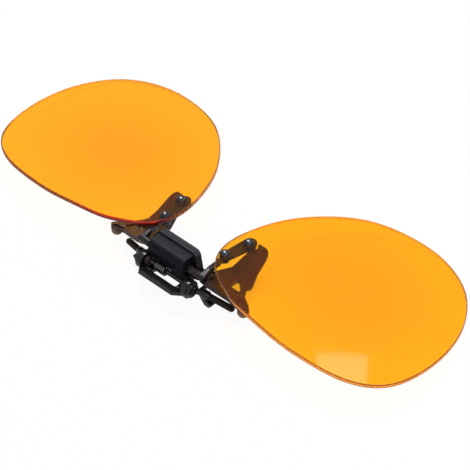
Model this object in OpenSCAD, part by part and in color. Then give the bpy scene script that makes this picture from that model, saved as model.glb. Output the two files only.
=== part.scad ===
/* [Lenses] */
// Width of one lens, from its nose end to its outer end
lens_w = 59.3; // [54:0.1:66]
// Height of one lens, from its brow edge to its cheek edge
lens_h = 52; // [46:0.5:58]
// Thickness of the lens sheet
lens_t = 1.2; // [1:0.1:2]
// Width of the bevel round the lens edge
lens_bevel = 0.25; // [0.1:0.05:0.4]
// Gap between the two lenses at the nose
lens_gap = 15.2; // [14.6:0.1:17]
// Rise of the brow edge of the lens above the tabs' upper ends
brow_rise = 4.9; // [4:0.05:6]
// Angle that each lens is swept back from the front plane
wrap_angle = 4.6; // [0:0.1:8]

/* [Flip axis] */
// Height of the flip axis above the middle of the tabs' upper ends
axis_rise = 0.6; // [0.3:0.05:0.8]
// Distance of the flip axis behind the middle of the tabs' thickness
axis_back = 1.25; // [1:0.05:1.4]

/* [Lens arms and screws] */
// Distance of the arm's neck from the middle of the clip
arm_x = 9.9; // [9.4:0.1:10.4]
// Outer radius of the knuckle
knuckle_r = 1; // [0.95:0.05:1.15]
// Thickness of the arm's tab
arm_t = 0.8; // [0.7:0.1:1]
// Thickness of the arm's neck
neck_t = 1.2; // [1:0.1:1.5]
// Width of the tab at its rounded end
tab_w = 3.2; // [3:0.1:3.6]
// Width of the tab at the upper screw
tab_root_w = 2.6; // [2.4:0.1:3]
// Width of the slim neck between the tab and the knuckle
neck_w = 1.3; // [1.1:0.1:1.6]
// Angle of the line through the two screws to the upright
tab_lean = 10.4; // [6:0.1:13]
// Distance from the nose end of the lens to the upper screw
screw_inset = 2.2; // [2:0.1:2.8]
// Distance from the brow edge of the lens down to the upper screw
screw_drop = 12.1; // [11:0.1:13]
// Distance between the two screws of a lens
screw_pitch = 7.2; // [6:0.1:8]
// Shank radius of a lens screw
screw_r = 0.6; // [0.5:0.05:0.7]
// Head radius of a lens screw
head_r = 1.2; // [1.1:0.05:1.4]
// Height of a lens screw's domed head
head_h = 0.7; // [0.6:0.05:0.9]
// Thickness of the washer under a screw head
washer_t = 0.15; // [0.1:0.05:0.3]
// Thickness of the nut behind the tab
nut_t = 0.6; // [0.5:0.05:0.7]

/* [Spring housing] */
// Length of the housing along the flip axis
housing_len = 11.3; // [10.9:0.1:11.5]
// Shift of the housing and plate to the wearer's left of the middle
block_shift = 0.6; // [0.4:0.05:0.7]
// Distance from the tabs' middle forward to the housing's front face
housing_front = 1.7; // [1.5:0.05:2]
// Distance from the tabs' middle back to the housing's rear face
housing_rear = 3.5; // [3.2:0.05:3.8]
// Height of the housing's crown above the tabs' upper ends
crown_rise = 2.55; // [2.3:0.05:2.8]
// Radius of the housing's rounded crown
crown_r = 5.3; // [4.6:0.1:6.5]
// Radius where the crown turns into the front and rear faces
crest_r = 1.2; // [0.8:0.1:1.5]
// Radius of the flip pin
pin_r = 0.6; // [0.5:0.05:0.7]
// Side of the square detent cam on the flip pin
cam_side = 1.6; // [1.4:0.05:1.65]
// Length of the detent cam
cam_len = 5; // [4:0.1:5.4]
// Thickness of the detent leaf
leaf_t = 0.25; // [0.15:0.05:0.3]

/* [Bridge plate] */
// Thickness of the bridge plate, brow side to cheek side
plate_t = 1.9; // [1.5:0.1:2.3]
// Width of the plate at its front edge
plate_front_w = 12.3; // [12:0.1:12.8]
// Width of the plate at its rear edge
plate_rear_w = 15.2; // [14:0.1:15.6]
// Distance from the tabs' middle forward to the plate's front edge
plate_front = 2.3; // [2.1:0.05:2.6]
// Width of the raised rim round the housing's foot
rim_w = 0.4; // [0.3:0.05:0.5]
// Depth of the recess that takes the housing's foot
foot_t = 0.35; // [0.25:0.05:0.5]

/* [Front jaw] */
// Thickness of the jaw's sheet in the two wings
wing_t = 1.1; // [0.9:0.05:1.4]
// Angle that each wing is swept back
wing_sweep = 14.2; // [12:0.1:16]
// Angle that each wing leans back towards its fold
wing_lean = 13.5; // [11:0.1:15]
// Reach of the finger along the wing from the middle of the clip
finger_reach = 23.3; // [22:0.1:25]
// Depth of the wing from the tabs' upper ends to its fold
fold_drop = 9.6; // [9:0.1:10.4]
// Angle that the paddle is folded forward towards the lens
fold_angle = 45.5; // [42:0.5:46]
// Length of the paddle past the fold
paddle_len = 9.1; // [8:0.1:9.4]
// Thickness of the web that joins the wings
web_t = 1.2; // [1:0.1:1.5]
// Radius of the rubber ball behind a finger's end
bead_r = 1.5; // [1.4:0.05:1.6]
// Radius of the peg that carries the ball
peg_r = 0.55; // [0.45:0.05:0.65]

/* [Rear jaw] */
// Height of the jaw pivot above the tabs' upper ends
pivot_rise = 2.4; // [2.2:0.05:2.8]
// Distance of the jaw pivot behind the tabs' middle
pivot_back = 4.6; // [4.5:0.05:5]
// Radius of the jaw pin
jaw_pin_r = 0.6; // [0.5:0.05:0.65]
// Outer radius of the hub on each side
hub_r = 2.4; // [2.1:0.05:2.5]
// Width of the hub along the pin
hub_w = 1.5; // [1.3:0.1:1.8]
// Radius of the boss on the hub's outer end
boss_r = 1.8; // [1.6:0.05:2]
// Width of the boss
boss_w = 0.8; // [0.6:0.1:1]
// Reach of the bail's thumb bar from the jaw pivot
bail_reach = 3.8; // [3.5:0.1:4.6]
// Width of the bail across its legs
bail_w = 14.8; // [13.6:0.1:15.6]
// Thickness of the bail
bail_t = 0.9; // [0.7:0.05:1.1]
// Reach of a prong's tip along the wing from the middle of the clip
prong_reach = 18.8; // [17:0.1:19.5]
// Gap between the wing and the prong with the jaw at rest
jaw_gap = 2.3; // [2.1:0.1:2.8]
// Radius of the rubber sleeve on a prong
sleeve_r = 0.85; // [0.75:0.05:1]
// Radius of the prong inside its sleeve
prong_r = 0.5; // [0.4:0.05:0.55]
// Radius of the collar at a prong's root
collar_r = 1.15; // [0.9:0.05:1.3]
// Length of the collar past the prong's root
collar_len = 2; // [1.5:0.1:2.5]

/* [Torsion spring] */
// Radius of the spring wire
wire_r = 0.22; // [0.18:0.01:0.25]
// Mean radius of the spring's coil
coil_r = 1.1; // [1:0.05:1.15]
// Number of turns in the coil
coil_turns = 3; // [3:1:4]
// Advance of one turn along the pin
coil_pitch = 1; // [0.9:0.05:1.1]
// Distance of the coil's middle from the middle of the clip
coil_x = 1.7; // [1:0.1:1.8]

/* [Fits] */
// Running clearance on radius between a pin and its bore
run_clear = 0.05; // [0.03:0.01:0.08]
// Clearance on radius of a fixed fit
fixed_clear = 0.02; // [0.01:0.005:0.04]
// Gap between pieces that pass each other
side_gap = 0.35; // [0.25:0.05:0.5]

/* [Hidden] */
$fn = 48;

// Worn axes: x to the wearer's left, y up to the brow, z forward, from the tabs' upper ends.
// The part lies front up on its prong sleeves and the cheek edges of its lenses.

// Lens plane: x from the neck outwards, z = 0 at the middle of the tab's thickness
nose_x = -(arm_x - lens_gap / 2) / cos(wrap_angle);
tab_back = -arm_t / 2;
lens_back = arm_t / 2;
lens_front = lens_back + lens_t;
flip_axis = [0, axis_rise, -axis_back];
housing_left = housing_len / 2 + block_shift;
housing_right = housing_len / 2 - block_shift;
knuckle_out = arm_x + neck_w / 2;
upper_screw = [nose_x + screw_inset, brow_rise - screw_drop];
lower_screw = upper_screw + screw_pitch * [sin(tab_lean), -cos(tab_lean)];
tab_end = lower_screw + [-0.2, -1.1];
neck_drop = 2.2;
nut_r = head_r * 1.15;

// Lens outline as shares of its width from the nose and of its height from the cheek edge
lens_shape = [[1, 0.54], [0.96, 0.8], [0.82, 0.94], [0.575, 0.99], [0.36, 0.98],
              [0.2, 0.95], [0.04, 0.84], [0, 0.645], [0.09, 0.34], [0.3, 0.09],
              [0.58, 0.01], [0.81, 0.085], [0.95, 0.28]];
lens_steps = 6;

function blend_point(a, b, c, d, t) =
    0.5 * (2 * b + (c - a) * t + (2 * a - 5 * b + 4 * c - d) * t * t
           + (3 * b - a - 3 * c + d) * t * t * t);
function closed_curve(p, steps) =
    [for (i = [0:len(p) - 1], s = [0:steps - 1])
        blend_point(p[(i + len(p) - 1) % len(p)], p[i], p[(i + 1) % len(p)],
                    p[(i + 2) % len(p)], s / steps)];
lens_outline = [for (q = closed_curve(lens_shape, lens_steps))
                   [nose_x + q[0] * lens_w, brow_rise - (1 - q[1]) * lens_h]];
function inset_curve(p, inset) =
    [for (i = [0:len(p) - 1]) let (
         way = p[(i + 1) % len(p)] - p[(i + len(p) - 1) % len(p)], w = way / norm(way))
     p[i] + inset * [-w[1], w[0]]];
lens_face = inset_curve(lens_outline, lens_bevel);

// Housing, plate and jaw planes
plate_top = -1.3;
plate_rear = housing_rear;
web_z = -housing_rear - fixed_clear;
web_back = web_z - web_t;
root_x = plate_rear_w / 2 + block_shift + side_gap;
pivot = [pivot_rise, -pivot_back];
hub_in = housing_left + side_gap;
hub_out = hub_in + hub_w + boss_w;
cam_room = cam_side / sqrt(2) + 0.1;
leaf_top = axis_rise - cam_side / 2 - 0.06;
leaf_len = 8;
leaf_w = 2;

// Wing plane on the left side: its front face, turned into worn axes
wing_z = 0.75;
function wing_point(p) =
    let (y = p[1] * cos(wing_lean) - p[2] * sin(wing_lean),
         z = p[1] * sin(wing_lean) + p[2] * cos(wing_lean))
        [p[0] * cos(wing_sweep) + z * sin(wing_sweep), y,
         wing_z - p[0] * sin(wing_sweep) + z * cos(wing_sweep)];
mitre = wing_t * tan(fold_angle / 2);

// Finger ball on the wing plane, and the prong behind the wing
bead = [finger_reach - bead_r + 0.4, -2.6, -wing_t - 0.6];
prong_root = [9.7, 0.3, -pivot_back - 1.75];
prong_tip = wing_point([prong_reach, -3.5, -wing_t - jaw_gap - sleeve_r]);
prong_axis = (prong_tip - prong_root) / norm(prong_tip - prong_root);
sleeve_start = prong_root + (collar_len + fixed_clear) * prong_axis;

// Bail: measured from the jaw pivot, brow-ward and forward
bail_pitch = 15.5;
bail_face = -1.5;
bail_window = 7.4;
bail_inner = 1.05;

// Lying position: the tilt that brings the sleeves' tips and the lens edges to one plane
function lens_point(p, z) =
    [arm_x + p[0] * cos(wrap_angle) + z * sin(wrap_angle), p[1],
     z * cos(wrap_angle) - p[0] * sin(wrap_angle)];
low_edge = [for (p = lens_face) lens_point(p, lens_back)];
function tilt_to(p) =
    let (d = p[2] - prong_tip[2], e = prong_tip[1] - p[1])
        acos(-sleeve_r / norm([d, e])) - atan2(e, d);
lie_tilt = min([for (p = low_edge) tilt_to(p)]);
function lying_y(y, z) = z * sin(lie_tilt) - y * cos(lie_tilt);
function lying_z(y, z) = y * sin(lie_tilt) + z * cos(lie_tilt);
rest_z = lying_z(prong_tip[1], prong_tip[2]) - sleeve_r;
high_edge = [for (p = lens_outline) lens_point(p, lens_front - lens_bevel)];
cheek_y = max([for (p = high_edge) lying_y(p[1], p[2])]);
bail_end = pivot + [bail_reach * cos(bail_pitch) - (bail_face - bail_t) * sin(bail_pitch),
                    bail_reach * sin(bail_pitch) + (bail_face - bail_t) * cos(bail_pitch)];
bail_lip_y = lying_y(bail_end[0], bail_end[1]);
brow_y = min(bail_lip_y, min([for (p = low_edge) lying_y(p[1], p[2])]));
mid_y = (cheek_y + brow_y) / 2;

echo(flip_axis = [0, lying_y(axis_rise, -axis_back) - mid_y,
                  lying_z(axis_rise, -axis_back) - rest_z]);
echo(jaw_axis = [0, lying_y(pivot[0], pivot[1]) - mid_y, lying_z(pivot[0], pivot[1]) - rest_z]);
echo(tilt = lie_tilt);

module lying() {
    translate([0, -mid_y, -rest_z]) rotate([-lie_tilt, 0, 0]) rotate([0, 0, 180]) children();
}

// The wearer's left side is drawn, and the right side is its mirror image
module on_side(right) {
    lying() mirror([right ? 1 : 0, 0, 0]) children();
}

module lens_plane() {
    translate([arm_x, 0, 0]) rotate([0, wrap_angle, 0]) children();
}

module wing_plane() {
    translate([0, 0, wing_z]) rotate([wing_lean, wing_sweep, 0]) children();
}

module along_x(x0, x1, r) {
    translate([x0, 0, 0]) rotate([0, 90, 0]) cylinder(r = r, h = x1 - x0);
}

module rod(a, b, r) {
    d = b - a;
    translate(a) rotate([0, atan2(norm([d[0], d[1]]), d[2]), atan2(d[1], d[0])])
        cylinder(r = r, h = norm(d));
}

module at_screws() {
    for (p = [upper_screw, lower_screw]) translate([p[0], p[1], 0]) children();
}

// Extrudes a profile drawn as (y, z) along x, centred on the middle
module along_pin(length) {
    rotate([90, 0, 90]) linear_extrude(height = length, center = true) children();
}

// Lenses and what fastens them

module lens_body() {
    hull() {
        translate([0, 0, lens_back]) linear_extrude(height = lens_t) polygon(lens_face);
        translate([0, 0, lens_back + lens_bevel]) linear_extrude(height = lens_t - 2 * lens_bevel)
            polygon(lens_outline);
    }
}

module lens(right) {
    color("orange") on_side(right) lens_plane() difference() {
        lens_body();
        at_screws() translate([0, 0, lens_back - 1])
            cylinder(r = screw_r + run_clear, h = lens_t + 2);
    }
}

module tab_outline() {
    hull() {
        translate(upper_screw) circle(d = tab_root_w);
        translate(tab_end) circle(d = tab_w);
    }
}

module neck_slab(y, gap) {
    lens_plane() translate([0, y, lens_back - neck_t - gap])
        cylinder(d = neck_w + 2 * gap, h = neck_t + 2 * gap);
}

// Bend of the neck back to the knuckle, or with a gap the room that it needs
module neck_bend(gap) {
    hull() {
        neck_slab(-neck_drop, gap);
        translate(flip_axis)
            along_x(knuckle_out - neck_w - gap, knuckle_out + gap, knuckle_r + gap);
    }
}

// Room for the tab's end and its nut, which the paddle's inner corner goes round
module tab_room() {
    lens_plane() translate([0, 0, tab_back - nut_t - side_gap]) {
        translate(tab_end) cylinder(d = tab_w + 2 * side_gap, h = 2);
        translate(lower_screw) cylinder(r = nut_r + side_gap, h = 2);
    }
}

module arm(right) {
    inner = right ? housing_right : housing_left;
    color([0.16, 0.15, 0.16]) on_side(right) difference() {
        union() {
            lens_plane() translate([0, 0, tab_back]) linear_extrude(height = arm_t)
                tab_outline();
            neck_bend(0);
            difference() {
                hull() {
                    neck_slab(-neck_drop, 0);
                    neck_slab(upper_screw[1], 0);
                }
                lens_plane() translate([-neck_w, upper_screw[1] - neck_w, tab_back - neck_t])
                    cube([2 * neck_w, neck_w + 2, neck_t]);
            }
            translate(flip_axis) along_x(inner + side_gap, knuckle_out, knuckle_r);
        }
        translate(flip_axis) along_x(0, 2 * arm_x, pin_r + fixed_clear);
        lens_plane() at_screws() translate([0, 0, -arm_t])
            cylinder(r = screw_r + run_clear, h = 2 * arm_t);
    }
}

// Domed head with a cross recess, and a shank that ends just behind the nut
module lens_screws(right) {
    seat = lens_front + washer_t;
    dome_r = (head_r * head_r + head_h * head_h) / (2 * head_h);
    color([0.3, 0.32, 0.35]) on_side(right) lens_plane() at_screws() difference() {
        union() {
            intersection() {
                translate([0, 0, seat]) cylinder(r = head_r, h = head_h);
                translate([0, 0, seat + head_h - dome_r]) sphere(r = dome_r);
            }
            translate([0, 0, tab_back - nut_t - 0.1])
                cylinder(r = screw_r, h = seat - tab_back + nut_t + 0.2);
        }
        for (a = [0, 90]) rotate([0, 0, a + 45]) translate([0, 0, seat + head_h])
            cube([head_r * 1.1, 0.28, head_h], center = true);
    }
}

module lens_washers(right) {
    color([0.1, 0.1, 0.1]) on_side(right) lens_plane() at_screws()
        translate([0, 0, lens_front]) difference() {
            cylinder(r = head_r + 0.1, h = washer_t);
            translate([0, 0, -1]) cylinder(r = screw_r + run_clear, h = washer_t + 2);
        }
}

module lens_nuts(right) {
    color([0.45, 0.46, 0.48]) on_side(right) lens_plane() at_screws()
        translate([0, 0, tab_back - nut_t]) difference() {
            cylinder(r = nut_r, h = nut_t, $fn = 6);
            translate([0, 0, -1]) cylinder(r = screw_r + fixed_clear, h = nut_t + 2);
        }
}

// Flip hinge

module flip_pin() {
    pin_end = knuckle_out + fixed_clear;
    color("silver") lying() translate(flip_axis) {
        along_x(-pin_end, pin_end, pin_r);
        for (s = [-1, 1]) translate([s * (pin_end + 0.1), 0, 0])
            along_x(-0.1, 0.1, pin_r * 1.4);
    }
}

module detent_cam() {
    color("gold") lying() translate(flip_axis) difference() {
        translate([-cam_len / 2, -cam_side / 2, -cam_side / 2])
            cube([cam_len, cam_side, cam_side]);
        along_x(-cam_len, cam_len, pin_r + fixed_clear);
    }
}

module detent_leaf() {
    color("silver") lying() translate([-leaf_len / 2, leaf_top - leaf_t, -axis_back - leaf_w / 2])
        cube([leaf_len, leaf_t, leaf_w]);
}

// Housing: a D-shaped block on a foot that sits in the plate's recess

module housing_section() {
    offset(r = crest_r) offset(delta = -crest_r) intersection() {
        translate([plate_top, -housing_rear])
            square([crown_rise - plate_top, housing_rear + housing_front]);
        translate([crown_rise - crown_r, (housing_front - housing_rear) / 2])
            circle(r = crown_r, $fn = 96);
    }
    translate([plate_top, -housing_rear]) square([crest_r, housing_rear + housing_front]);
}

module plate_outline(inset) {
    slope = (plate_rear_w - plate_front_w) / 2 / (plate_front + plate_rear);
    w_front = plate_front_w / 2 - inset;
    w_rear = plate_rear_w / 2 - inset;
    corner = 0.8;
    translate([block_shift, 0]) polygon([[-w_rear, -plate_rear], [w_rear, -plate_rear],
             [w_front + slope * corner, plate_front - inset - corner],
             [w_front - corner * 0.7, plate_front - inset],
             [corner * 0.7 - w_front, plate_front - inset],
             [-w_front - slope * corner, plate_front - inset - corner]]);
}

// Draws a profile given as (x, z) as a layer from y0 up to y1
module layer(y0, y1) {
    translate([0, y1, 0]) rotate([90, 0, 0]) linear_extrude(height = y1 - y0) children();
}

module spring_housing() {
    color([0.17, 0.18, 0.2]) lying() difference() {
        union() {
            translate([block_shift, 0, 0]) along_pin(housing_len) housing_section();
            layer(plate_top - foot_t, plate_top + 0.1) intersection() {
                plate_outline(rim_w + 0.08);
                translate([-plate_rear_w, -housing_rear]) square([2 * plate_rear_w, 20]);
            }
        }
        translate(flip_axis) along_x(-housing_len, housing_len, pin_r + run_clear);
        translate([-cam_len / 2 - 0.3, plate_top - 1, -axis_back - cam_room])
            cube([cam_len + 0.6, axis_rise + cam_room - plate_top + 1, 2 * cam_room]);
        translate([-leaf_len / 2 - 0.1, plate_top - 1, -axis_back - leaf_w / 2 - 0.1])
            cube([leaf_len + 0.2, leaf_top + fixed_clear - plate_top + 1, leaf_w + 0.2]);
        translate([coil_x, pivot[0], pivot[1]])
            along_x(-coil_room, coil_room, coil_r + wire_r + side_gap);
        translate([coil_x - coil_room, crown_rise - 0.75, -housing_rear - 1])
            cube([2 * coil_room, 2, 3]);
        rod(coil_at(0), coil_at(0) - (housing_leg + 0.1) * coil_way(0), wire_r + fixed_clear);
    }
}

module bridge_plate() {
    pad_x = (leaf_len + cam_len) / 4 + 0.2;
    color([0.15, 0.16, 0.18]) lying() difference() {
        union() {
            difference() {
                layer(plate_top - plate_t, plate_top) plate_outline(0);
                layer(plate_top - foot_t, plate_top + 1) intersection() {
                    plate_outline(rim_w);
                    translate([-plate_rear_w, -plate_rear - 1]) square([2 * plate_rear_w, 20]);
                }
            }
            for (s = [-1, 1]) translate([s * pad_x, 0, -axis_back])
                layer(plate_top - foot_t - 0.1, leaf_top - leaf_t - fixed_clear)
                    square([0.6, leaf_w - 0.2], center = true);
        }
        at_rivets() rod([0, 0, -plate_rear - 1], [0, 0, rivet_end - fixed_clear],
                        rivet_r + fixed_clear);
    }
}

rivet_r = 0.45;
rivet_x = 2.7;
rivet_head_t = 0.35;
rivet_y = plate_top - foot_t - (plate_t - foot_t) / 2;
rivet_end = -1.5;

module at_rivets() {
    for (s = [-1, 1]) translate([s * rivet_x, rivet_y, 0]) children();
}

// Each rivet runs from the bridge plate through the web, with a low head behind it
module jaw_rivets() {
    color("silver") lying() at_rivets() {
        rod([0, 0, web_back - rivet_head_t], [0, 0, rivet_end - 0.1], rivet_r);
        translate([0, 0, web_back - rivet_head_t])
            cylinder(r1 = rivet_r * 1.3, r2 = rivet_r * 2, h = rivet_head_t - fixed_clear);
    }
}

// Front jaw: a web with two pivot lugs and two swept wings

// Upper part of a wing, from the finger down to the fold
module wing_outline() {
    tip = finger_reach;
    fold = -fold_drop - mitre;
    root = root_x + 0.6;
    difference() {
        offset(r = 0.3) offset(delta = -0.3) polygon([
            [root, 0.9], [12, 0.8], [14.5, 0.2], [18, -0.8], [tip - 0.6, -1],
            [tip, -1.5], [tip, -2.4], [tip - 0.7, -3.2], [tip - 3.4, -4.8],
            [tip - 5.1, -8.1], [tip - 4.7, -8.8], [tip - 4.7, fold],
            [11.3, fold], [10.3, -5], [root, -3.6]]);
        offset(r = 0.25) offset(delta = -0.25) polygon([
            [tip - 8, -8.6], [tip - 5.9, -6.6], [tip - 5.3, -4.7], [tip - 7.8, -4.1]]);
    }
}

// Paddle past the fold: drawn on from the wing, then turned forward about the fold
module paddle_outline() {
    end = -fold_drop - paddle_len;
    offset(r = 0.7) offset(delta = -0.7) polygon([
        [finger_reach - 4.7, mitre - fold_drop], [finger_reach - 6.1, -fold_drop - 2.8],
        [finger_reach - 7, end + 2.4], [finger_reach - 7.6, end + 0.9],
        [finger_reach - 8.6, end], [12.2, end + 0.4], [11.8, end + 2.4], [11.3, mitre - fold_drop]]);
}

module paddle_plane() {
    translate([0, -fold_drop, 0]) rotate([-fold_angle, 0, 0]) translate([0, fold_drop, 0])
        children();
}

// Pressed rib on the wing's outer leg, from the fold to the finger
module wing_rib() {
    hull() {
        translate([finger_reach - 6.1, -8.8]) circle(r = 0.5);
        translate([finger_reach - 4.1, -3.4]) circle(r = 0.5);
    }
}

module wing() {
    wing_plane() {
        translate([0, 0, -wing_t]) linear_extrude(height = wing_t) wing_outline();
        translate([0, 0, -wing_t / 2]) linear_extrude(height = wing_t / 2 + 0.3) wing_rib();
        paddle_plane() translate([0, 0, -wing_t]) linear_extrude(height = wing_t)
            paddle_outline();
        translate(bead) cylinder(r = peg_r, h = -bead[2] - wing_t / 2);
    }
}

// Shoulder that brings the web forward to the root of the wing, drawn as (x, z)
module wing_root() {
    polygon([[root_x, web_back], [root_x, web_z], [root_x + 0.2, -2.4], [10.4, -3],
             [10.4, -3.8], [root_x + 0.8, web_back]]);
}

// Rib behind the knuckle that carries the shoulder up to the brow edge, drawn as (x, z)
module root_rib() {
    polygon([[root_x, -3.1], [root_x, -2.7], [11.2, -2.2], [11.2, -3.2], [10.4, -3.3]]);
}

module lug_section() {
    r = jaw_pin_r + 0.75;
    intersection() {
        hull() {
            translate(pivot) circle(r = r);
            translate([-1.2, web_back]) square([1, web_t]);
        }
        translate([-5, web_z - 10]) square([20, 10]);
    }
}

module front_jaw() {
    lug_w = 0.95;
    lug_out = hub_in - side_gap;
    web_side = root_x + 0.7;
    web_top = pivot_rise - jaw_pin_r - side_gap / 2;
    color([0.14, 0.13, 0.14]) lying() difference() {
        union() {
            translate([0, 0, web_back]) linear_extrude(height = web_t) polygon([
                [-web_side, -3.9], [web_side, -3.9], [web_side, -1.9], [lug_out + 0.9, -0.7],
                [lug_out, -0.4], [housing_right, 0], [housing_right, web_top],
                [-housing_right, web_top], [-housing_right, 0], [-lug_out, -0.4],
                [-lug_out - 0.9, -0.7], [-web_side, -1.9]]);
            for (s = [-1, 1]) translate([s * (lug_out - lug_w / 2), 0, 0])
                along_pin(lug_w) lug_section();
            for (s = [0, 1]) mirror([s, 0, 0]) {
                wing();
                layer(-3.2, -1.6) wing_root();
                layer(-2, 0.3) root_rib();
            }
        }
        translate(flip_axis)
            along_x(-knuckle_out - side_gap, knuckle_out + side_gap, knuckle_r + side_gap);
        for (s = [0, 1]) mirror([s, 0, 0]) {
            neck_bend(side_gap);
            tab_room();
        }
        translate([coil_x, pivot[0], pivot[1]])
            along_x(-coil_room, coil_room, coil_r + wire_r + side_gap);
        translate([0, pivot[0], pivot[1]])
            along_x(-housing_len, housing_len, jaw_pin_r + fixed_clear);
        at_rivets() rod([0, 0, web_back - 1], [0, 0, web_z + 1], rivet_r + fixed_clear);
    }
}

// Rubber ball with a blind bore, pushed on the finger's peg
module finger_ball(right) {
    color([0.2, 0.17, 0.15]) on_side(right) wing_plane() difference() {
        translate(bead) sphere(r = bead_r);
        translate(bead - [0, 0, fixed_clear]) cylinder(r = peg_r + fixed_clear, h = 2 * bead_r);
        translate([0, -2 * bead_r - 3, -wing_t - fixed_clear])
            cube([2 * finger_reach, 4 * bead_r + 3, 2 * bead_r]);
    }
}

// Rear jaw: the bail, its hubs and the two prongs in one piece

module jaw_pin() {
    pin_end = hub_out + 0.1;
    color("silver") lying() translate([0, pivot[0], pivot[1]]) {
        along_x(-pin_end, pin_end, jaw_pin_r);
        for (s = [-1, 1]) translate([s * (pin_end + 0.15), 0, 0])
            along_x(-0.15, 0.15, jaw_pin_r * 1.4);
    }
}

module bail_outline() {
    half = bail_w / 2;
    offset(r = 0.35) offset(delta = -0.35) difference() {
        polygon([[-half, -1.6], [half, -1.6], [half, 1.2], [half - 1.9, bail_reach],
                 [1.9 - half, bail_reach], [-half, 1.2]]);
        polygon([[-bail_window / 2, -5], [bail_window / 2, -5],
                 [bail_window / 2, bail_inner], [-bail_window / 2, bail_inner]]);
    }
}

module bail() {
    lip_w = bail_w - 4.4;
    rotate([bail_pitch, 0, 0]) {
        translate([0, 0, bail_face - bail_t]) linear_extrude(height = bail_t) bail_outline();
        translate([-lip_w / 2, bail_reach - 0.6, bail_face - 0.1]) cube([lip_w, 0.6, 0.45]);
    }
}

// Foot behind the root of a prong, drawn as (x, z)
module heel_outline() {
    polygon([[hub_out - 0.1, -5.6], [9.8, -5.6], [10.2, -7.4], [11.2, -8], [12.8, -8.6],
             [12.9, -9], [12.3, -9.6], [11, -9.6], [9.8, -8.4], [hub_out - 0.1, -7.2]]);
}

module prong_side() {
    difference() {
        union() {
            layer(-1.2, 0.6) heel_outline();
            rod([hub_out - 0.5, 0.9, prong_root[2]], prong_root + prong_axis, prong_r + 0.3);
            rod(prong_root, prong_root + collar_len * prong_axis, collar_r);
        }
        rod(sleeve_start - fixed_clear * prong_axis, prong_tip, sleeve_r + fixed_clear);
    }
    rod(prong_root, prong_tip - 0.1 * prong_axis, prong_r);
}

module stepped_hub() {
    along_x(hub_in, hub_in + hub_w, hub_r);
    along_x(hub_in + hub_w - 0.1, hub_out, boss_r);
}

module bail_lever() {
    color([0.15, 0.15, 0.17]) lying() difference() {
        union() {
            translate([0, pivot[0], pivot[1]]) {
                for (s = [0, 1]) mirror([s, 0, 0]) translate([0, 0.1, -0.6])
                    stepped_hub();
                bail();
            }
            for (s = [0, 1]) mirror([s, 0, 0]) prong_side();
        }
        translate([0, pivot[0], pivot[1]]) {
            along_x(-hub_out - 1, hub_out + 1, jaw_pin_r + run_clear);
            along_x(-housing_left, housing_left, hub_r - 0.5);
        }
    }
}

// Rubber sleeve: a tube with a round closed tip, drawn up the prong's own axis
module prong_sleeve(right) {
    d = prong_tip - sleeve_start;
    length = norm(d);
    color([0.22, 0.19, 0.18]) on_side(right) translate(sleeve_start)
        rotate([0, atan2(norm([d[0], d[1]]), d[2]), atan2(d[1], d[0])]) difference() {
            rotate_extrude() union() {
                square([sleeve_r, length]);
                intersection() {
                    translate([0, length]) circle(r = sleeve_r);
                    translate([0, length]) square(sleeve_r);
                }
            }
            translate([0, 0, -1]) cylinder(r = prong_r + fixed_clear, h = length + 0.95);
        }
}

// Torsion spring: one wire swept along a coil with two straight legs

turn_steps = 8;
wire_sides = 6;
// Angle round the pin, from the brow towards the front, at which the first leg leaves the coil
first_angle = 180;
// The last leg leaves the coil along the front face of the bail
wire_turn = 360 * coil_turns + 90 + bail_pitch;
coil_len = coil_pitch * wire_turn / 360;
coil_start = coil_x - coil_len / 2;
coil_steps = ceil(wire_turn * turn_steps / 360);
housing_leg = 1.6;
coil_room = coil_len / 2 + wire_r + side_gap;
bail_leg = 2;
function coil_at(a) =
    [coil_start + coil_pitch * a / 360,
     pivot[0] + coil_r * cos(a + first_angle), pivot[1] + coil_r * sin(a + first_angle)];
function coil_way(a) = [0, -sin(a + first_angle), cos(a + first_angle)];
wire_path = concat(
    [coil_at(0) - housing_leg * coil_way(0)],
    [for (i = [0:coil_steps]) coil_at(wire_turn * i / coil_steps)],
    [coil_at(wire_turn) + bail_leg * coil_way(wire_turn)]);
function unit(v) = v / norm(v);
function path_way(p, i) = unit(p[min(i + 1, len(p) - 1)] - p[max(i - 1, 0)]);
wire_points = [for (i = [0:len(wire_path) - 1]) let (
                   w = path_way(wire_path, i), u = unit([1, 0, 0] - w * w[0]), v = cross(w, u))
               for (k = [0:wire_sides - 1])
                   wire_path[i] + wire_r * (u * cos(360 * k / wire_sides)
                                            + v * sin(360 * k / wire_sides))];
wire_faces = concat(
    [[for (k = [0:wire_sides - 1]) k]],
    [for (i = [0:len(wire_path) - 2], k = [0:wire_sides - 1]) let (
         a = i * wire_sides + k, b = i * wire_sides + (k + 1) % wire_sides)
     each [[a, a + wire_sides, b], [b, a + wire_sides, b + wire_sides]]],
    [[for (k = [0:wire_sides - 1]) len(wire_path) * wire_sides - 1 - k]]);
wire_gap = min([for (i = [0:len(wire_path) - 1], j = [0:len(wire_path) - 1])
                   if (j > i + turn_steps / 2) norm(wire_path[i] - wire_path[j]) - 2 * wire_r]);
echo(least_gap_of_spring_to_itself = wire_gap);

module torsion_spring() {
    color("silver") lying() polyhedron(points = wire_points, faces = wire_faces);
}

lens(false);  // left_lens
lens(true);  // right_lens
arm(false);  // left_arm
arm(true);  // right_arm
lens_screws(false);  // left_lens_screws
lens_screws(true);  // right_lens_screws
lens_washers(false);  // left_lens_washers
lens_washers(true);  // right_lens_washers
lens_nuts(false);  // left_lens_nuts
lens_nuts(true);  // right_lens_nuts
flip_pin();
detent_cam();
spring_housing();
bridge_plate();
detent_leaf();
front_jaw();
jaw_rivets();
finger_ball(false);  // left_finger_ball
finger_ball(true);  // right_finger_ball
jaw_pin();
torsion_spring();
bail_lever();
prong_sleeve(false);  // left_prong_sleeve
prong_sleeve(true);  // right_prong_sleeve
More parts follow.
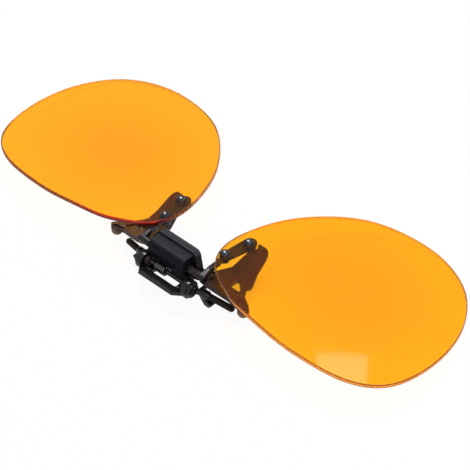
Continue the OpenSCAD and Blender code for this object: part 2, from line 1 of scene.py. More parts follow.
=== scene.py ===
"""Clip-on glasses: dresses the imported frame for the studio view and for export.

Lengths are in metres, angles in radians, lamp powers in watts and noise grains in waves
per metre, unless a name ends with another unit.
"""

import logging
import math
from dataclasses import dataclass
from enum import Enum

import bmesh
import bpy
from mathutils import Matrix, Vector


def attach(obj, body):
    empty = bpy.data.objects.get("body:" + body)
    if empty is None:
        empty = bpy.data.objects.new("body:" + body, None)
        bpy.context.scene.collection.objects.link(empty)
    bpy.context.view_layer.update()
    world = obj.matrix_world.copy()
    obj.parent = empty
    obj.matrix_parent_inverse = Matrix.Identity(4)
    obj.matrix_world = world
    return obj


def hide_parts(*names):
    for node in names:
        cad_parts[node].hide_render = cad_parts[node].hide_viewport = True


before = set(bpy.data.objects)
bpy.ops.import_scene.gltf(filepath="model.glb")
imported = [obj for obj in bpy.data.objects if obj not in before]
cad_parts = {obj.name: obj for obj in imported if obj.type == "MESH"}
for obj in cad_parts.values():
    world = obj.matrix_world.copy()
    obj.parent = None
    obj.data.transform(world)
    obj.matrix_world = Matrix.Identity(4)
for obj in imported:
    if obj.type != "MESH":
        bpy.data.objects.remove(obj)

log = logging.getLogger("clip_on_glasses")

MM = 0.001
SAME_POINT = 1e-7  # points closer than this are welded into one
WHITE = (1.0, 1.0, 1.0)
FLAT = (1.0, 1.0, 0.0)  # scale that drops the third axis
FLAT_MIDDLE = (0.5, 0.5, 0.0)  # middle of an object's box after it
MIX_COLOURS = (6, 7)  # numbers of the mix node's two colour inputs
MIX_RESULT = 2  # number of its colour output

Socket = bpy.types.NodeSocket
Colour = tuple[float, float, float]
Point = tuple[float, float, float]
Span = tuple[float, float]


class Side(Enum):
    """The wearer's side of a paired piece."""

    LEFT = "left"
    RIGHT = "right"


class Body(Enum):
    """The rigid bodies that new pieces ride on."""

    CLIP = "clip"
    LENSES = "lenses"


def put(name: str, data: bpy.types.ID) -> bpy.types.Object:
    """Puts a mesh, camera or lamp into the scene.

    Args:
        name: Name of the new object.
        data: Its mesh, camera or lamp data.

    Returns:
        The object.
    """
    item = bpy.data.objects.new(name, data)
    bpy.context.scene.collection.objects.link(item)
    return item


class Nodes:
    """A node tree, with short calls for the nodes that the finishes and the studio use."""

    def __init__(self, tree: bpy.types.NodeTree, output: str) -> None:
        """Empties a tree and gives it an output.

        Args:
            tree: The node tree.
            output: Blender's name of the output's type.
        """
        self.tree = tree
        self.tree.nodes.clear()
        self.output = self.add(output)

    def add(self, kind: str, **settings: object) -> bpy.types.Node:
        """Adds a node.

        Args:
            kind: Blender's name of the node type.
            settings: Properties of the node and their values.

        Returns:
            The node.
        """
        node = self.tree.nodes.new(kind)
        for key, value in settings.items():
            setattr(node, key, value)
        return node

    def link(self, source: Socket, target: Socket) -> None:
        """Joins two sockets."""
        self.tree.links.new(source, target)

    def uniform(self, kind: str, colour: Colour, **numbers: float) -> Socket:
        """Adds a shader of one even colour.

        Args:
            kind: Blender's name of the shader's type.
            colour: Its colour.
            numbers: Its other inputs and their values.

        Returns:
            The shader's socket.
        """
        node = self.add(kind)
        node.inputs["Color"].default_value = (*colour, 1.0)
        for name, number in numbers.items():
            node.inputs[name].default_value = number
        return node.outputs[0]

    def combine(self, operation: str, first: Socket, second: Socket) -> Socket:
        """Combines two values.

        Args:
            operation: Blender's name of the operation.
            first: Socket of the first value.
            second: Socket of the second value.

        Returns:
            The result's socket.
        """
        node = self.add("ShaderNodeMath", operation=operation)
        self.link(first, node.inputs[0])
        self.link(second, node.inputs[1])
        return node.outputs["Value"]

    def layer(self, share: Socket, under: Socket, over: Socket) -> Socket:
        """Lays one shader over another.

        Args:
            share: Socket of the upper shader's share.
            under: The lower shader's socket.
            over: The upper shader's socket.

        Returns:
            The layered shader's socket.
        """
        node = self.add("ShaderNodeMixShader")
        self.link(share, node.inputs["Fac"])
        self.link(under, node.inputs[1])
        self.link(over, node.inputs[2])
        return node.outputs["Shader"]


class Sheet(Nodes):
    """One material's node tree.

    The edge turn is the cosine between a surface's own and its rounded normal: an edge in
    full at the first number, and none at the second.
    """

    edge_turn: Span = (0.8, 0.995)
    edge_samples: int = 4

    def __init__(self, name: str) -> None:
        """Makes an empty material.

        Args:
            name: Name of the material.
        """
        self.material = bpy.data.materials.new(name)
        self.material.use_nodes = True
        super().__init__(self.material.node_tree, "ShaderNodeOutputMaterial")
        self.place = self.add("ShaderNodeTexCoord").outputs["Object"]

    def noise(self, scale: float, detail: float = 2.0, rough: float = 0.5,
              place: Socket | None = None) -> Socket:
        """Adds a noise texture.

        Args:
            scale: Waves in a metre.
            detail: Octaves.
            rough: Share of the finer octaves.
            place: Socket of the place, or None for the place in object space.

        Returns:
            The noise's value socket.
        """
        node = self.add("ShaderNodeTexNoise")
        node.inputs["Scale"].default_value = scale
        node.inputs["Detail"].default_value = detail
        node.inputs["Roughness"].default_value = rough
        self.link(place or self.place, node.inputs["Vector"])
        return node.outputs["Fac"]

    def spread(self, value: Socket, low: float, high: float,
               start: float = 0.3, end: float = 0.7) -> Socket:
        """Maps a value onto a range.

        Args:
            value: Socket of the value.
            low: Result at start.
            high: Result at end.
            start: Value that gives low.
            end: Value that gives high.

        Returns:
            The result's socket.
        """
        node = self.add("ShaderNodeMapRange", clamp=True)
        limits = (("From Min", start), ("From Max", end), ("To Min", low), ("To Max", high))
        for name, number in limits:
            node.inputs[name].default_value = number
        self.link(value, node.inputs["Value"])
        return node.outputs["Result"]

    def mix(self, share: Socket, first: Colour | Socket, second: Colour | Socket) -> Socket:
        """Mixes two colours.

        Args:
            share: Socket of the second colour's share.
            first: Colour or colour socket at share 0.
            second: Colour or colour socket at share 1.

        Returns:
            The mixed colour's socket.
        """
        node = self.add("ShaderNodeMix", data_type="RGBA")
        self.link(share, node.inputs["Factor"])
        for number, source in zip(MIX_COLOURS, (first, second)):
            if isinstance(source, tuple):
                node.inputs[number].default_value = (*source, 1.0)
            else:
                self.link(source, node.inputs[number])
        return node.outputs[MIX_RESULT]

    def axes(self, vector: Socket) -> bpy.types.NodeOutputs:
        """Splits a vector.

        Args:
            vector: The vector's socket.

        Returns:
            Its sockets X, Y and Z.
        """
        split = self.add("ShaderNodeSeparateXYZ")
        self.link(vector, split.inputs["Vector"])
        return split.outputs

    def rise(self, low: float, high: float, most: float = 1.0) -> Socket:
        """Finds how far a surface faces the front, from 0 at low to most at high."""
        normal = self.add("ShaderNodeTexCoord").outputs["Normal"]
        return self.spread(self.axes(normal)["Z"], 0.0, most, low, high)

    def bump(self, height: Socket, depth: float) -> Socket:
        """Adds a bump.

        Args:
            height: Socket of the height, 0 to 1.
            depth: Depth of the bump.

        Returns:
            The bumped normal's socket.
        """
        node = self.add("ShaderNodeBump")
        node.inputs["Strength"].default_value = 1.0
        node.inputs["Distance"].default_value = depth
        self.link(height, node.inputs["Height"])
        return node.outputs["Normal"]

    def edge(self, radius: float) -> Socket:
        """Finds the surface close to an edge.

        Args:
            radius: Reach from the edge.

        Returns:
            Socket that is 1 on the edge and 0 away from it.
        """
        bevel = self.add("ShaderNodeBevel", samples=self.edge_samples)
        bevel.inputs["Radius"].default_value = radius
        geometry = self.add("ShaderNodeNewGeometry")
        dot = self.add("ShaderNodeVectorMath", operation="DOT_PRODUCT")
        self.link(bevel.outputs["Normal"], dot.inputs[0])
        self.link(geometry.outputs["Normal"], dot.inputs[1])
        return self.spread(dot.outputs["Value"], 1.0, 0.0, *self.edge_turn)

    def surface(self, metallic: float = 0.0, ior: float = 1.5) -> bpy.types.Node:
        """Adds the principled shader and joins it to the output.

        Args:
            metallic: Share of metal.
            ior: Index of refraction.

        Returns:
            The shader node.
        """
        shader = self.add("ShaderNodeBsdfPrincipled")
        shader.inputs["Metallic"].default_value = metallic
        shader.inputs["IOR"].default_value = ior
        self.link(shader.outputs["BSDF"], self.output.inputs["Surface"])
        return shader


@dataclass(frozen=True)
class CoatedFinish:
    """Paint or moulded plastic: two close tones, a fine skin and paler worn edges.

    A painted top light above 0 mixes what faces the front towards the worn colour: painted light,
    paler where light falls from above.
    """

    name: str
    colour: Colour
    second: Colour
    worn: Colour
    rough: Span = (0.32, 0.45)
    grain: float = 900.0
    patch_grain: float = 1530.0
    rough_grain: float = 540.0
    skin: float = 5200.0
    skin_depth: float = 4e-6
    edge_mm: float = 0.1
    wear: Span = (0.125, 0.5)
    coat: float = 0.0
    coat_rough: float = 0.1
    gloss: float = 0.15
    painted_top_light: float = 0.0
    painted_top_light_rise: Span = (0.55, 0.95)

    def make(self) -> bpy.types.Material:
        """Builds the material.

        Returns:
            The material.
        """
        sheet = Sheet(self.name)
        shader = sheet.surface()
        shader.inputs["Coat Weight"].default_value = self.coat
        shader.inputs["Coat Roughness"].default_value = self.coat_rough
        shader.inputs["Specular IOR Level"].default_value = self.gloss
        tone = sheet.spread(sheet.noise(self.grain, detail=4.0), 0.0, 1.0)
        colour = sheet.mix(tone, self.colour, self.second)
        patches = sheet.spread(sheet.noise(self.patch_grain, detail=3.0), *self.wear)
        bare = sheet.combine("MULTIPLY", sheet.edge(self.edge_mm * MM), patches)
        colour = sheet.mix(bare, colour, self.worn)
        # Painted light: faces that look to the front are paler, as if lit from above.
        if self.painted_top_light:
            colour = sheet.mix(sheet.rise(*self.painted_top_light_rise, self.painted_top_light), colour, self.worn)
        rough = sheet.spread(sheet.noise(self.rough_grain, detail=3.0), *self.rough)
        skin = sheet.bump(sheet.noise(self.skin), self.skin_depth)
        sheet.link(colour, shader.inputs["Base Color"])
        sheet.link(rough, shader.inputs["Roughness"])
        sheet.link(skin, shader.inputs["Normal"])
        return sheet.material


@dataclass(frozen=True)
class SteelFinish:
    """Drawn or turned steel with faint scratches, and a painted glint on the crown where it has
    one.

    The streak is the scratches' waves in a metre along the three axes.
    """

    name: str
    colour: Colour
    second: Colour
    rough: Span = (0.22, 0.4)
    rough_grain: float = 1100.0
    streak: Point = (300.0, 6000.0, 6000.0)
    scratch_depth: float = 2e-6
    painted_glint: Colour | None = None
    painted_glint_rise: Span = (0.955, 0.985)

    def make(self) -> bpy.types.Material:
        """Builds the material.

        Returns:
            The material.
        """
        sheet = Sheet(self.name)
        shader = sheet.surface(metallic=1.0)
        stretch = sheet.add("ShaderNodeMapping")
        stretch.inputs["Scale"].default_value = self.streak
        sheet.link(sheet.place, stretch.inputs["Vector"])
        scratches = sheet.noise(1.0, detail=3.0, place=stretch.outputs["Vector"])
        colour = sheet.mix(sheet.spread(scratches, 0.0, 1.0), self.colour, self.second)
        # Painted highlight: the crown, which faces the front, is brighter, as if it caught a
        # lamp.
        if self.painted_glint:
            colour = sheet.mix(sheet.rise(*self.painted_glint_rise), colour, self.painted_glint)
        rough = sheet.spread(sheet.noise(self.rough_grain, detail=3.0), *self.rough)
        sheet.link(colour, shader.inputs["Base Color"])
        sheet.link(rough, shader.inputs["Roughness"])
        sheet.link(sheet.bump(scratches, self.scratch_depth), shader.inputs["Normal"])
        return sheet.material


@dataclass(frozen=True)
class RubberFinish:
    """Soft dip-moulded rubber with a dull skin."""

    name: str
    colour: Colour
    second: Colour
    grain: float = 700.0
    rough: Span = (0.5, 0.68)
    rough_grain: float = 1500.0
    skin: float = 3800.0
    skin_depth: float = 1.2e-5
    ior: float = 1.45
    gloss: float = 0.15
    sheen: float = 0.03
    sheen_rough: float = 0.5

    def make(self) -> bpy.types.Material:
        """Builds the material.

        Returns:
            The material.
        """
        sheet = Sheet(self.name)
        shader = sheet.surface(ior=self.ior)
        shader.inputs["Specular IOR Level"].default_value = self.gloss
        shader.inputs["Sheen Weight"].default_value = self.sheen
        shader.inputs["Sheen Roughness"].default_value = self.sheen_rough
        tone = sheet.spread(sheet.noise(self.grain, detail=5.0), 0.0, 1.0)
        rough = sheet.spread(sheet.noise(self.rough_grain), *self.rough)
        skin = sheet.bump(sheet.noise(self.skin, detail=4.0, rough=0.6), self.skin_depth)
        sheet.link(sheet.mix(tone, self.colour, self.second), shader.inputs["Base Color"])
        sheet.link(rough, shader.inputs["Roughness"])
        sheet.link(skin, shader.inputs["Normal"])
        return sheet.material


@dataclass(frozen=True)
class LensFinish:
    """Dyed lens sheet: clear tint, paler towards the rim, and a trace of haze.

    The rim span is in shares of the lens's box, from its middle.
    """

    name: str
    tint: Colour
    rim_tint: Colour
    haze_colour: Colour
    rim: Span = (0.2, 0.62)
    drift: float = 0.22
    drift_grain: float = 24.0
    haze: Span = (0.0119, 0.0161)
    haze_grain: float = 60.0
    rough: float = 0.035
    ior: float = 1.19

    def fade(self, sheet: Sheet) -> Socket:
        """Finds the rim tint's share.

        Args:
            sheet: The material's nodes.

        Returns:
            The share's socket.
        """
        flat = sheet.add("ShaderNodeMapping")
        flat.inputs["Scale"].default_value = FLAT
        box_place = sheet.add("ShaderNodeTexCoord").outputs["Generated"]
        sheet.link(box_place, flat.inputs["Vector"])
        reach = sheet.add("ShaderNodeVectorMath", operation="DISTANCE")
        sheet.link(flat.outputs["Vector"], reach.inputs[0])
        reach.inputs[1].default_value = FLAT_MIDDLE
        uneven = sheet.add("ShaderNodeMath", operation="MULTIPLY_ADD")
        sheet.link(sheet.noise(self.drift_grain), uneven.inputs[0])
        uneven.inputs[1].default_value = self.drift
        sheet.link(reach.outputs["Value"], uneven.inputs[2])
        return sheet.spread(uneven.outputs["Value"], 0.0, 1.0, *self.rim)

    def make(self) -> bpy.types.Material:
        """Builds the material, whose shadow is a tinted one.

        Returns:
            The material.
        """
        sheet = Sheet(self.name)
        shader = sheet.surface(ior=self.ior)
        shader.inputs["Transmission Weight"].default_value = 1.0
        shader.inputs["Roughness"].default_value = self.rough
        sheet.link(sheet.mix(self.fade(sheet), self.tint, self.rim_tint),
                   shader.inputs["Base Color"])
        veil = sheet.uniform("ShaderNodeBsdfDiffuse", self.haze_colour)
        veil_share = sheet.spread(sheet.noise(self.haze_grain, detail=3.0), *self.haze)
        hazy = sheet.layer(veil_share, shader.outputs["BSDF"], veil)
        # Light passes two faces, so each takes the root of the tint.
        clear = sheet.uniform("ShaderNodeBsdfTransparent", tuple(c ** 0.5 for c in self.tint))
        shadow = sheet.add("ShaderNodeLightPath").outputs["Is Shadow Ray"]
        sheet.link(sheet.layer(shadow, hazy, clear), sheet.output.inputs["Surface"])
        return sheet.material


@dataclass(frozen=True)
class LensEdgeFinish:
    """Edge of the dyed sheet, deep red along the left lens's brow edge by the nose.

    The red fades out over the brow span, away from the brow, and over the middle span, past
    the nose. Over the nose span far_deep turns into deep.
    """

    name: str
    colour: Colour
    second: Colour
    deep: Colour
    far_deep: Colour
    clear: float = 0.4
    brow: Span = (-0.013, -0.009)
    nose: Span = (-0.032, -0.027)
    middle: Span = (-0.002, 0.002)
    grain: float = 120.0
    grain_turn: Span = (0.4, 0.65)
    rough: Span = (0.18, 0.34)
    rough_grain: float = 900.0
    polish_marks: float = 2500.0
    polish_depth: float = 6e-6
    ior: float = 1.3

    def make(self) -> bpy.types.Material:
        """Builds the material.

        Returns:
            The material.
        """
        sheet = Sheet(self.name)
        shader = sheet.surface(ior=self.ior)
        shader.inputs["Transmission Weight"].default_value = self.clear
        place = sheet.axes(sheet.place)
        share = sheet.combine("MULTIPLY",
                              sheet.spread(place["Y"], 1.0, 0.0, *self.brow),
                              sheet.spread(place["X"], 1.0, 0.0, *self.middle))
        tone = sheet.spread(sheet.noise(self.grain, detail=3.0), 0.0, 1.0, *self.grain_turn)
        plain = sheet.mix(tone, self.colour, self.second)
        toward_nose = sheet.spread(place["X"], 0.0, 1.0, *self.nose)
        red = sheet.mix(toward_nose, self.far_deep, self.deep)
        rough = sheet.spread(sheet.noise(self.rough_grain, detail=3.0), *self.rough)
        marks = sheet.bump(sheet.noise(self.polish_marks), self.polish_depth)
        sheet.link(sheet.mix(share, plain, red), shader.inputs["Base Color"])
        sheet.link(rough, shader.inputs["Roughness"])
        sheet.link(marks, shader.inputs["Normal"])
        return sheet.material


ARM_PAINT = CoatedFinish(
    "arm_paint", (0.015, 0.0115, 0.013), (0.022, 0.017, 0.019), (0.07, 0.062, 0.066),
    rough=(0.2, 0.32), gloss=0.12, coat=0.12)
JAW_PAINT = CoatedFinish(
    "jaw_paint", (0.024, 0.017, 0.019), (0.034, 0.025, 0.027), (0.07, 0.058, 0.058),
    rough=(0.34, 0.5), gloss=0.18)
LEVER_PAINT = CoatedFinish(
    "lever_paint", (0.007, 0.007, 0.009), (0.012, 0.012, 0.015), (0.11, 0.11, 0.125),
    rough=(0.16, 0.28), gloss=0.12, coat=0.35)
PLATE_PAINT = CoatedFinish(
    "plate_paint", (0.014, 0.015, 0.02), (0.02, 0.021, 0.028), (0.1, 0.105, 0.125),
    rough=(0.3, 0.42), gloss=0.14)
# The housing's front-facing faces get a painted top light.
HOUSING_PLASTIC = CoatedFinish(
    "housing_plastic", (0.005, 0.0055, 0.009), (0.008, 0.0088, 0.013), (0.1, 0.105, 0.125),
    rough=(0.28, 0.4), skin_depth=7e-6, gloss=0.055, painted_top_light=0.15)
CAM_NYLON = CoatedFinish(
    "cam_nylon", (0.62, 0.58, 0.46), (0.7, 0.66, 0.54), (0.75, 0.72, 0.62), gloss=0.4)
WASHER_NYLON = CoatedFinish(
    "washer_nylon", (0.008, 0.008, 0.009), (0.013, 0.013, 0.015), (0.04, 0.04, 0.04))
# The screw heads carry a painted glint on their crowns.
SCREW_STEEL = SteelFinish(
    "screw_steel", (0.018, 0.019, 0.024), (0.05, 0.053, 0.062),
    rough=(0.1, 0.22), streak=(1500.0, 1500.0, 1500.0), painted_glint=(0.27, 0.27, 0.29))
NUT_STEEL = SteelFinish("nut_steel", (0.04, 0.04, 0.044), (0.08, 0.08, 0.086))
PIN_STEEL = SteelFinish("pin_steel", (0.022, 0.023, 0.027), (0.05, 0.052, 0.058))
SPRING_STEEL = SteelFinish(
    "spring_steel", (0.035, 0.036, 0.04), (0.11, 0.112, 0.12), rough=(0.14, 0.26))
SLEEVE_RUBBER = RubberFinish("sleeve_rubber", (0.011, 0.01, 0.01), (0.019, 0.016, 0.016))
BALL_RUBBER = RubberFinish("ball_rubber", (0.14, 0.1, 0.078), (0.2, 0.15, 0.12))
LENS_SHEET = LensFinish(
    "amber_sheet", (1.0, 0.39, 0.001), (1.0, 0.455, 0.002), (0.5, 0.3, 0.17))
LENS_BEVEL = LensEdgeFinish(
    "amber_bevel", (0.22, 0.06, 0.03), (0.3, 0.1, 0.04),
    deep=(0.3, 0.006, 0.012), far_deep=(0.16, 0.02, 0.008))
LENS_SIDE = LensEdgeFinish(
    "amber_side", (0.9, 0.33, 0.06), (0.95, 0.43, 0.09),
    deep=(0.42, 0.006, 0.012), far_deep=(0.34, 0.05, 0.012), clear=0.8)

Finish = CoatedFinish | SteelFinish | RubberFinish


@dataclass
class SubAssembly:
    """A group of pieces that belongs together.

    Faces that meet at less than the crease angle are shaded as one smooth surface.
    """

    title: str = "sub-assembly"
    round_steps: int = 2
    crease_deg: float = 38.0

    def dress(self, node: str, finish: Finish, round_mm: float) -> None:
        """Gives a node of the frame its material and rounds its edges.

        Args:
            node: Name of the node.
            finish: Its finish.
            round_mm: Width of the rounding, 0 for none.
        """
        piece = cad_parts[node]
        piece.data.materials.clear()
        piece.data.materials.append(finish.make())
        weld = piece.modifiers.new("weld", "WELD")
        weld.merge_threshold = SAME_POINT
        if round_mm > 0:
            bevel = piece.modifiers.new("rounding", "BEVEL")
            bevel.width = round_mm * MM
            bevel.segments = self.round_steps
            bevel.limit_method = "ANGLE"
            bevel.angle_limit = math.radians(self.crease_deg)
            bevel.harden_normals = False
            bevel.use_clamp_overlap = True
        self.smooth(piece)
        log.info("%s: dressed %s with %s", self.title, node, finish.name)

    def smooth(self, piece: bpy.types.Object) -> None:
        """Shades a piece smooth up to the group's crease angle.

        Args:
            piece: The object.
        """
        with bpy.context.temp_override(object=piece, active_object=piece,
                                       selected_objects=[piece],
                                       selected_editable_objects=[piece]):
            bpy.ops.object.shade_auto_smooth(angle=math.radians(self.crease_deg))

    def show(self, piece: bpy.types.Object, body: Body, slot: str, *nodes: str) -> None:
        """Puts a new piece in place of nodes of the frame.

        Args:
            piece: The object.
            body: The body it rides on.
            slot: Name of a material slot; not used.
            nodes: Nodes that it stands for.
        """
        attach(piece, body.value)
        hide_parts(*nodes)
        log.info("%s: built %s", self.title, piece.name)


@dataclass
class Lenses(SubAssembly):
    """The two dyed lens sheets with their deep red edges.

    A face belongs to the sheet, its front bevel or its side by how far it looks to the front.
    """

    title: str = "lenses"
    face_share: float = 0.9
    bevel_share: float = 0.35
    crease_deg: float = 30.0

    def slot_of(self, along: float) -> int:
        """Finds a face's material.

        Args:
            along: Front part of the face's normal.

        Returns:
            0 for the sheet, 1 for the front bevel, 2 for the side.
        """
        if abs(along) > self.face_share:
            return 0
        return 1 if along > self.bevel_share else 2

    def sheet(self, side: Side) -> bpy.types.Object:
        """Builds one lens on its node's own outline.

        Args:
            side: The wearer's side.

        Returns:
            The lens object.
        """
        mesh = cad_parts[f"{side.value}_lens"].data.copy()
        mesh.materials.clear()
        for finish in (LENS_SHEET, LENS_BEVEL, LENS_SIDE):
            mesh.materials.append(finish.make())
        form = bmesh.new()
        form.from_mesh(mesh)
        bmesh.ops.remove_doubles(form, verts=form.verts, dist=SAME_POINT)
        front = max(form.faces, key=lambda f: f.calc_area()).normal.copy()
        if front.z < 0.0:
            front.negate()
        for face in form.faces:
            face.material_index = self.slot_of(face.normal.dot(front))
            face.smooth = face.material_index > 0
        form.to_mesh(mesh)
        form.free()
        piece = put(f"{side.value}_lens_sheet", mesh)
        self.smooth(piece)
        return piece

    def build(self) -> None:
        """Builds both lenses."""
        for side in Side:
            self.show(self.sheet(side), Body.LENSES, "amber_lens", f"{side.value}_lens")


@dataclass
class LensFittings(SubAssembly):
    """Arms, screws, washers and nuts of the two lenses."""

    title: str = "lens fittings"

    def build(self) -> None:
        """Dresses the fittings of both sides."""
        for side in Side:
            self.dress(f"{side.value}_arm", ARM_PAINT, round_mm=0.1)
            self.dress(f"{side.value}_lens_screws", SCREW_STEEL, round_mm=0.05)
            self.dress(f"{side.value}_lens_washers", WASHER_NYLON, round_mm=0.03)
            self.dress(f"{side.value}_lens_nuts", NUT_STEEL, round_mm=0.05)


@dataclass
class FlipHinge(SubAssembly):
    """Housing, bridge plate, pin, cam and leaf."""

    title: str = "flip hinge"

    def build(self) -> None:
        """Dresses the hinge's nodes."""
        self.dress("spring_housing", HOUSING_PLASTIC, round_mm=0.16)
        self.dress("bridge_plate", PLATE_PAINT, round_mm=0.12)
        self.dress("flip_pin", PIN_STEEL, round_mm=0.05)
        self.dress("detent_cam", CAM_NYLON, round_mm=0.05)
        self.dress("detent_leaf", SPRING_STEEL, round_mm=0.03)


@dataclass
class FrontJaw(SubAssembly):
    """Front jaw with its rivets and finger balls."""

    title: str = "front jaw"

    def build(self) -> None:
        """Dresses the jaw's nodes."""
        self.dress("front_jaw", JAW_PAINT, round_mm=0.12)
        self.dress("jaw_rivets", PIN_STEEL, round_mm=0.05)
        for side in Side:
            self.dress(f"{side.value}_finger_ball", BALL_RUBBER, round_mm=0.0)


@dataclass
class RearJaw(SubAssembly):
    """Bail lever, prong sleeves and jaw pin."""

    title: str = "rear jaw"

    def build(self) -> None:
        """Dresses the lever, its sleeves and its pin."""
        self.dress("bail_lever", LEVER_PAINT, round_mm=0.12)
        self.dress("jaw_pin", PIN_STEEL, round_mm=0.05)
        for side in Side:
            self.dress(f"{side.value}_prong_sleeve", SLEEVE_RUBBER, round_mm=0.05)


@dataclass
class JawSpring(SubAssembly):
    """Torsion spring on the jaw pin: a smooth round wire, wound closely.

    The coil starts beside the pivot and runs to the wearer's left. The lever's leg ends
    short of the lever, so that the jaw can open.
    """

    title: str = "jaw spring"
    pivot: Point = (0.0, -0.0222316, 0.00560288)
    tilt: float = math.radians(8.86182)
    wire_radius_mm: float = 0.25
    coil_radius_mm: float = 1.1
    coil_start_mm: float = 0.0535
    coil_length_mm: float = 3.293
    sweep: float = math.radians(1905.5)
    first_angle: float = math.pi
    housing_leg_mm: float = 1.6
    lever_leg_mm: float = 1.5
    turn_steps: int = 20
    sides: int = 12
    crease_deg: float = 40.0

    def in_frame(self, left: float, brow: float, front: float) -> Vector:
        """Turns a step to the wearer's left, brow and front into the frame's axes."""
        c, s = math.cos(self.tilt), math.sin(self.tilt)
        return Vector((-left, front * s - brow * c, front * c + brow * s))

    def path(self) -> list[Vector]:
        """Finds the wire's middle line with its two straight legs.

        Returns:
            Points from the housing's leg to the lever's leg.
        """
        steps = math.ceil(self.sweep / math.tau * self.turn_steps)
        points: list[Vector] = []
        for step in range(steps + 1):
            share = step / steps
            angle = self.first_angle + share * self.sweep
            points.append(self.in_frame(self.coil_start_mm + share * self.coil_length_mm,
                                        self.coil_radius_mm * math.cos(angle),
                                        self.coil_radius_mm * math.sin(angle)))
        first, last = (self.in_frame(0.0, -math.sin(angle), math.cos(angle))
                       for angle in (self.first_angle, self.first_angle + self.sweep))
        points.insert(0, points[0] - self.housing_leg_mm * first)
        points.append(points[-1] + self.lever_leg_mm * last)
        return [Vector(self.pivot) + MM * point for point in points]

    def ring(self, form: bmesh.types.BMesh, path: list[Vector],
             i: int) -> list[bmesh.types.BMVert]:
        """Adds the ring of points round the wire at one point of its path.

        Args:
            form: The wire's mesh.
            path: The wire's middle line.
            i: The point's number on it.

        Returns:
            The ring's points.
        """
        way = (path[min(i + 1, len(path) - 1)] - path[max(i - 1, 0)]).normalized()
        side = Vector((1.0, 0.0, 0.0))
        side = (side - side.dot(way) * way).normalized()
        top = way.cross(side)
        radius = self.wire_radius_mm * MM
        points = []
        for k in range(self.sides):
            angle = math.tau * k / self.sides
            out = math.cos(angle) * side + math.sin(angle) * top
            points.append(form.verts.new(path[i] + radius * out))
        return points

    def wire(self) -> bpy.types.Object:
        """Builds the wire as one closed tube along its path.

        Returns:
            The wire object.
        """
        path = self.path()
        form = bmesh.new()
        rings = [self.ring(form, path, i) for i in range(len(path))]
        for near, far in zip(rings, rings[1:]):
            for k in range(self.sides):
                n = (k + 1) % self.sides
                form.faces.new((near[k], near[n], far[n], far[k]))
        form.faces.new(rings[0][::-1])
        form.faces.new(rings[-1])
        bmesh.ops.recalc_face_normals(form, faces=form.faces)
        mesh = bpy.data.meshes.new("jaw_spring_wire")
        form.to_mesh(mesh)
        form.free()
        mesh.materials.append(SPRING_STEEL.make())
        piece = put("jaw_spring_wire", mesh)
        self.smooth(piece)
        return piece

    def build(self) -> None:
        """Builds the spring in place of its node."""
        self.show(self.wire(), Body.CLIP, "spring_steel", "torsion_spring")


@dataclass(frozen=True)
class Softbox:
    """A square lamp that points at the object."""

    name: str
    place: Point
    size: float
    power: float


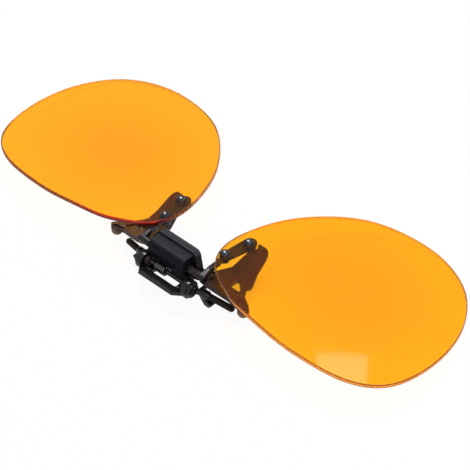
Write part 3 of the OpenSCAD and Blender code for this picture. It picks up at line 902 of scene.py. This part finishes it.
@dataclass
class Studio:
    """Floor, lamps, world and camera.

    The window lamp is too weak to light the object. It shows as a pale window in the right
    lens, so it stands where the camera's view of that lens is mirrored to.
    """

    camera_at: Point = (0.31787, -0.30715, 0.49457)
    camera_right: Point = (0.7388475, 0.671599, -0.055307)
    camera_down: Point = (0.4753353, -0.577586, -0.663665)
    camera_reach: Span = (0.01, 20.0)
    focal_px: float = 2689.2
    frame_px: float = 470.0
    sensor_mm: float = 36.0
    world_level: float = 0.35
    floor_colour: Colour = (0.88, 0.88, 0.88)
    floor_half: float = 3.0
    floor_cells: int = 4
    floor_glow: float = 0.94
    floor_glow_in_glass: float = 0.72
    softboxes: tuple[Softbox, ...] = (
        Softbox("key_softbox", (-0.32, 0.31, 0.78), 0.3, 5.4),
        Softbox("fill_softbox", (0.6, -0.2, 0.5), 0.5, 1.4),
        Softbox("rim_softbox", (0.42, 0.6, 0.4), 0.4, 1.6),
    )
    window_at: Point = (-0.09836, 0.32207, 0.33992)
    window_across: Point = (0.7398, 0.6532, -0.1613)
    window_back: Point = (-0.3887, 0.6106, 0.69)
    window_size: Span = (0.0214, 0.018)
    window_power: float = 0.0102

    @staticmethod
    def stand(name: str, data: bpy.types.ID, at: Point, turn: Matrix) -> bpy.types.Object:
        """Stands a camera or lamp in the studio.

        Args:
            name: Name of the new object.
            data: Its camera or lamp data.
            at: Its place.
            turn: Its rotation.

        Returns:
            The object.
        """
        item = put(name, data)
        item.matrix_world = Matrix.Translation(at) @ turn.to_4x4()
        return item

    def camera(self) -> None:
        """Sets the camera at the photograph's view."""
        data = bpy.data.cameras.new("studio_camera")
        data.sensor_fit = "HORIZONTAL"
        data.sensor_width = self.sensor_mm
        data.lens = self.focal_px / self.frame_px * self.sensor_mm
        data.clip_start, data.clip_end = self.camera_reach
        right = Vector(self.camera_right).normalized()
        up = -Vector(self.camera_down)
        up = (up - up.dot(right) * right).normalized()
        turn = Matrix((right, up, right.cross(up))).transposed()
        bpy.context.scene.camera = self.stand("studio_camera", data, self.camera_at, turn)

    def softbox(self, box: Softbox) -> None:
        """Adds one soft lamp.

        Args:
            box: The lamp.
        """
        data = bpy.data.lights.new(box.name, "AREA")
        data.size = box.size
        data.energy = box.power
        turn = Vector(box.place).to_track_quat("Z", "Y").to_matrix()
        self.stand(box.name, data, box.place, turn)

    def window(self) -> None:
        """Adds the small lamp that shows as a pale window in the right lens."""
        data = bpy.data.lights.new("window", "AREA")
        data.shape = "RECTANGLE"
        data.size, data.size_y = self.window_size
        data.energy = self.window_power
        across = Vector(self.window_across).normalized()
        back = Vector(self.window_back)
        back = (back - back.dot(across) * across).normalized()
        turn = Matrix((across, back.cross(across), back)).transposed()
        self.stand("window", data, self.window_at, turn)

    def world(self) -> None:
        """Lights the studio evenly, and shows white to the camera, gloss and glass."""
        world = bpy.data.worlds.new("studio_world")
        world.use_nodes = True
        nodes = Nodes(world.node_tree, "ShaderNodeOutputWorld")
        ray = nodes.add("ShaderNodeLightPath").outputs
        seen = ray["Is Camera Ray"]
        for name in ("Is Transmission Ray", "Is Glossy Ray"):
            seen = nodes.combine("MAXIMUM", seen, ray[name])
        soft = nodes.uniform("ShaderNodeBackground", WHITE, Strength=self.world_level)
        white = nodes.uniform("ShaderNodeBackground", WHITE, Strength=1.0)
        nodes.link(nodes.layer(seen, soft, white), nodes.output.inputs["Surface"])
        bpy.context.scene.world = world

    def paper(self) -> bpy.types.Material:
        """Builds the floor's paper, which shows white under the object's shadow.

        Returns:
            The material.
        """
        sheet = Sheet("floor_paper")
        matt = sheet.uniform("ShaderNodeBsdfDiffuse", self.floor_colour)
        glow = sheet.uniform("ShaderNodeEmission", WHITE, Strength=1.0)
        ray = sheet.add("ShaderNodeLightPath").outputs
        share = sheet.spread(ray["Is Camera Ray"], 0.0, self.floor_glow, 0.0, 1.0)
        for name in ("Is Glossy Ray", "Is Transmission Ray"):
            mirrored = sheet.spread(ray[name], 0.0, self.floor_glow_in_glass, 0.0, 1.0)
            share = sheet.combine("MAXIMUM", share, mirrored)
        sheet.link(sheet.layer(share, matt, glow), sheet.output.inputs["Surface"])
        return sheet.material

    def floor(self) -> None:
        """Lays the pale floor."""
        form = bmesh.new()
        bmesh.ops.create_grid(form, x_segments=self.floor_cells, y_segments=self.floor_cells,
                              size=self.floor_half)
        mesh = bpy.data.meshes.new("floor")
        form.to_mesh(mesh)
        form.free()
        mesh.materials.append(self.paper())
        ground = put("floor", mesh)

    def build(self) -> None:
        """Sets up the studio."""
        bpy.context.scene.view_settings.view_transform = "Standard"
        self.camera()
        self.world()
        self.floor()
        for box in self.softboxes:
            self.softbox(box)
        self.window()
        log.info("studio: camera, floor, window and %d softboxes", len(self.softboxes))


def main() -> None:
    """Builds the sub-assemblies in order."""
    logging.basicConfig(level=logging.INFO, format="%(name)s: %(message)s")
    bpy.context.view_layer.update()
    groups = (Lenses(), LensFittings(), FlipHinge(), FrontJaw(), RearJaw(), JawSpring(), Studio())
    for group in groups:
        group.build()


if __name__ == "__main__":
    main()
